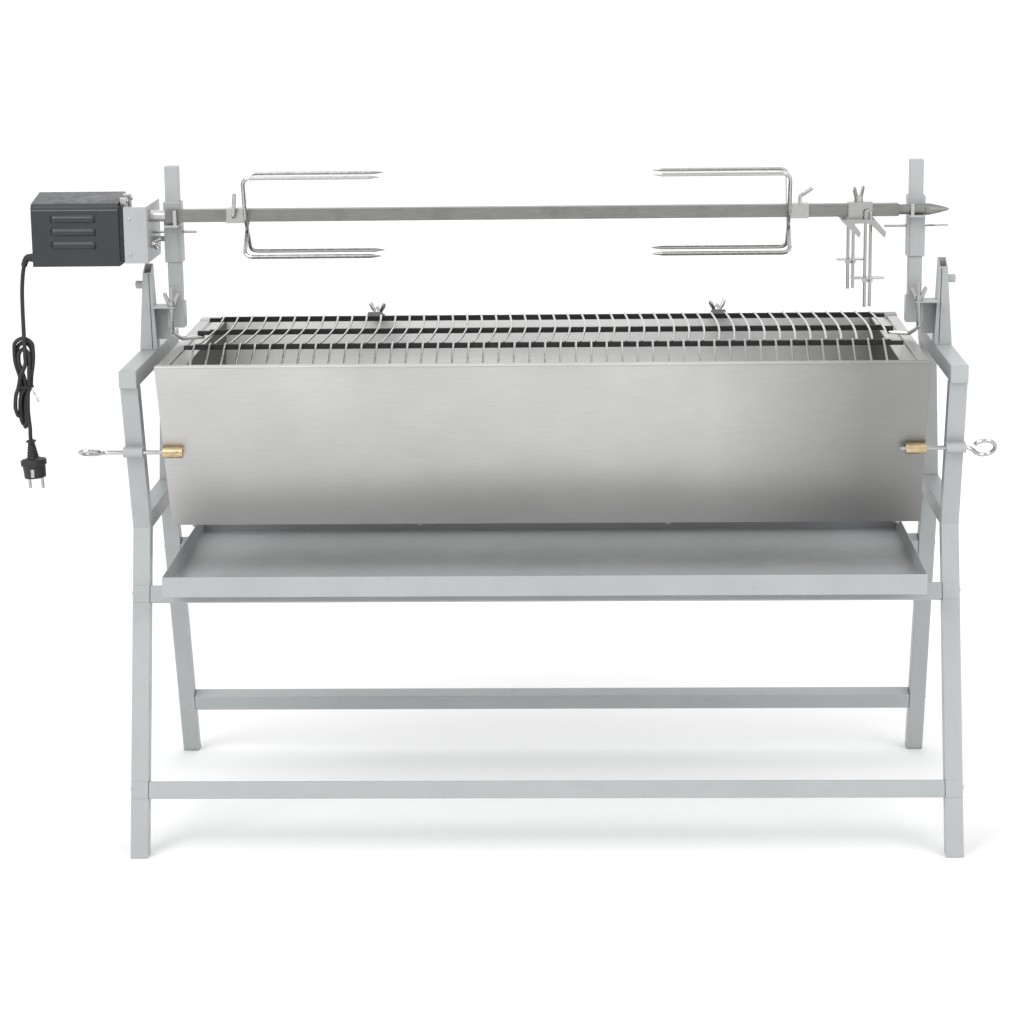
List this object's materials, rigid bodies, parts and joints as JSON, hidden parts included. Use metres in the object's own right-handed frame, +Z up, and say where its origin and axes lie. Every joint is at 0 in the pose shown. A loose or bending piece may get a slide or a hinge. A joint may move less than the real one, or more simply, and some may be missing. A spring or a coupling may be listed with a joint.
{
  "type": "charcoal spit roaster",
  "caption": "Free-standing charcoal spit roaster: bent-tube stand, V-shaped steel trough, wire grates, pull-out ash tray, motor-turned square spit with forks and back clamp.",
  "frame": {"origin": "on the floor, under the middle of the object's box without its lead", "axes": "+Z up, +X along the spit from the motor to its pointed end, -Y towards the cook"},
  "size_m": [1.435, 0.55, 0.973],
  "materials": {
    "frame_paint": "smooth pale grey powder coat, satin",
    "tray_paint": "pale grey powder coat, satin",
    "stainless": "brushed stainless sheet",
    "chrome": "bright plated wire and hardware",
    "dull_steel": "drawn steel bar, dull grey",
    "black_iron": "blackened bar",
    "brass": "turned brass",
    "motor_paint": "dark slate enamel",
    "motor_black": "black enamel",
    "zinc": "zinc plated",
    "rubber_black": "black moulded rubber"
  },
  "bodies": {
    "frame": {"front_leg_left": "frame_paint", "front_leg_right": "frame_paint", "rear_leg_left": "frame_paint", "rear_leg_right": "frame_paint", "shoulder_tube_left": "frame_paint", "waist_tube_left": "frame_paint", "upright_left": "frame_paint", "post_left": "frame_paint", "shoulder_tube_right": "frame_paint", "waist_tube_right": "frame_paint", "upright_right": "frame_paint", "post_right": "frame_paint", "front_lower_bar": "frame_paint", "front_upper_bar": "frame_paint", "rear_lower_bar": "frame_paint", "rear_upper_bar": "frame_paint", "trough_front_panel": "stainless", "trough_rear_panel": "stainless", "trough_floor": "stainless", "trough_end_left": "stainless", "trough_end_right": "stainless", "pin_bush_left": "brass", "pin_bush_right": "brass", "front_grate": "chrome", "grate_bar_front": "black_iron"},
    "ash_tray": {"ash_tray": "tray_paint"},
    "grate": {"main_grate": "chrome", "grate_bar_middle": "black_iron", "grate_bar_rear": "black_iron", "grate_hanger_left": "chrome", "grate_hanger_right": "chrome"},
    "hanger_nut_left": {"hanger_nut_left": "chrome"},
    "hanger_nut_right": {"hanger_nut_right": "chrome"},
    "eye_pin_left": {"eye_pin_left": "chrome"},
    "eye_pin_right": {"eye_pin_right": "chrome"},
    "left_carriage": {"spit_sleeve_left": "frame_paint", "motor_bracket": "frame_paint", "motor_cover": "motor_paint", "motor_end_plate": "motor_black", "motor_stator": "zinc", "lead": "rubber_black", "lead_hank": "rubber_black", "lead_tail": "rubber_black", "mains_plug": "rubber_black"},
    "right_carriage": {"spit_sleeve_right": "frame_paint"},
    "height_pin_left": {"height_pin_left": "chrome"},
    "height_pin_right": {"height_pin_right": "chrome"},
    "spit": {"spit": "dull_steel", "output_socket": "zinc"},
    "motor_rotor": {"motor_rotor": "dull_steel"},
    "fork_left": {"fork_left": "dull_steel"},
    "fork_right": {"fork_right": "dull_steel"},
    "fork_screw_left": {"fork_screw_left": "zinc"},
    "fork_screw_right": {"fork_screw_right": "zinc"},
    "clamp": {"clamp_collar": "chrome"},
    "clamp_screw": {"clamp_screw": "zinc"},
    "u_bolt_inner": {"u_bolt_inner": "chrome"},
    "u_bolt_outer": {"u_bolt_outer": "chrome"},
    "u_bolt_plate_inner": {"u_bolt_plate_inner": "zinc"},
    "u_bolt_plate_outer": {"u_bolt_plate_outer": "zinc"}
  },
  "joints": [
    {"name": "tray_slide", "type": "slide", "parent": "frame", "child": "ash_tray", "axis": [0, -1, 0], "range_m": [0, 0.25]},
    {"name": "grate_lift", "type": "slide", "parent": "frame", "child": "grate", "axis": [0, 0, 1], "range_m": [0, 0.0105]},
    {"name": "hanger_nut_left_turn", "type": "hinge", "parent": "grate", "child": "hanger_nut_left", "pos_m": [-0.496, -0.0235, 0.775], "axis": [0, 0, 1], "range_deg": [0, 360]},
    {"name": "hanger_nut_right_turn", "type": "hinge", "parent": "grate", "child": "hanger_nut_right", "pos_m": [0.602, -0.0235, 0.775], "axis": [0, 0, 1], "range_deg": [0, 360]},
    {"name": "eye_pin_left_pull", "type": "slide", "parent": "frame", "child": "eye_pin_left", "axis": [-1, 0, 0], "range_m": [0, 0.06]},
    {"name": "eye_pin_right_pull", "type": "slide", "parent": "frame", "child": "eye_pin_right", "axis": [1, 0, 0], "range_m": [0, 0.06]},
    {"name": "left_carriage_height", "type": "slide", "parent": "frame", "child": "left_carriage", "axis": [0, 0, 1], "range_m": [-0.012, 0.04]},
    {"name": "right_carriage_height", "type": "slide", "parent": "frame", "child": "right_carriage", "axis": [0, 0, 1], "range_m": [-0.012, 0.04]},
    {"name": "height_pin_left_pull", "type": "slide", "parent": "left_carriage", "child": "height_pin_left", "axis": [-1, 0, 0], "range_m": [0, 0.008]},
    {"name": "height_pin_right_pull", "type": "slide", "parent": "right_carriage", "child": "height_pin_right", "axis": [1, 0, 0], "range_m": [0, 0.055]},
    {"name": "spit_spin", "type": "hinge", "parent": "left_carriage", "child": "spit", "pos_m": [0.053, -0.03, 0.903], "axis": [1, 0, 0], "continuous": true},
    {"name": "rotor_spin", "type": "hinge", "parent": "left_carriage", "child": "motor_rotor", "pos_m": [-0.617, -0.03, 0.883], "axis": [1, 0, 0], "continuous": true},
    {"name": "fork_left_slide", "type": "slide", "parent": "spit", "child": "fork_left", "axis": [1, 0, 0], "range_m": [-0.04, 0.16]},
    {"name": "fork_right_slide", "type": "slide", "parent": "spit", "child": "fork_right", "axis": [1, 0, 0], "range_m": [-0.16, 0.01]},
    {"name": "fork_screw_left_turn", "type": "hinge", "parent": "fork_left", "child": "fork_screw_left", "pos_m": [-0.396, -0.03, 0.903], "axis": [0, 1, 0], "range_deg": [-180, 0]},
    {"name": "fork_screw_right_turn", "type": "hinge", "parent": "fork_right", "child": "fork_screw_right", "pos_m": [0.427, -0.03, 0.903], "axis": [0, 0, 1], "range_deg": [-180, 180]},
    {"name": "clamp_slide", "type": "slide", "parent": "spit", "child": "clamp", "axis": [1, 0, 0], "range_m": [-0.02, 0]},
    {"name": "clamp_screw_turn", "type": "hinge", "parent": "clamp", "child": "clamp_screw", "pos_m": [0.5115, -0.03, 0.915], "axis": [0, 0, 1], "range_deg": [0, 360]},
    {"name": "u_bolt_inner_lift", "type": "slide", "parent": "clamp", "child": "u_bolt_inner", "axis": [0, 0, 1], "range_m": [0, 0.008]},
    {"name": "u_bolt_outer_lift", "type": "slide", "parent": "clamp", "child": "u_bolt_outer", "axis": [0, 0, 1], "range_m": [0, 0.008]},
    {"name": "plate_inner_slide", "type": "slide", "parent": "u_bolt_inner", "child": "u_bolt_plate_inner", "axis": [0, 0, 1], "range_m": [-0.01, 0.018]},
    {"name": "plate_outer_slide", "type": "slide", "parent": "u_bolt_outer", "child": "u_bolt_plate_outer", "axis": [0, 0, 1], "range_m": [-0.01, 0.03]}
  ],
  "couplings": [
    {"joint": "right_carriage_height", "follows": "left_carriage_height", "ratio": 1},
    {"joint": "rotor_spin", "follows": "spit_spin", "ratio": -3}
  ]
}
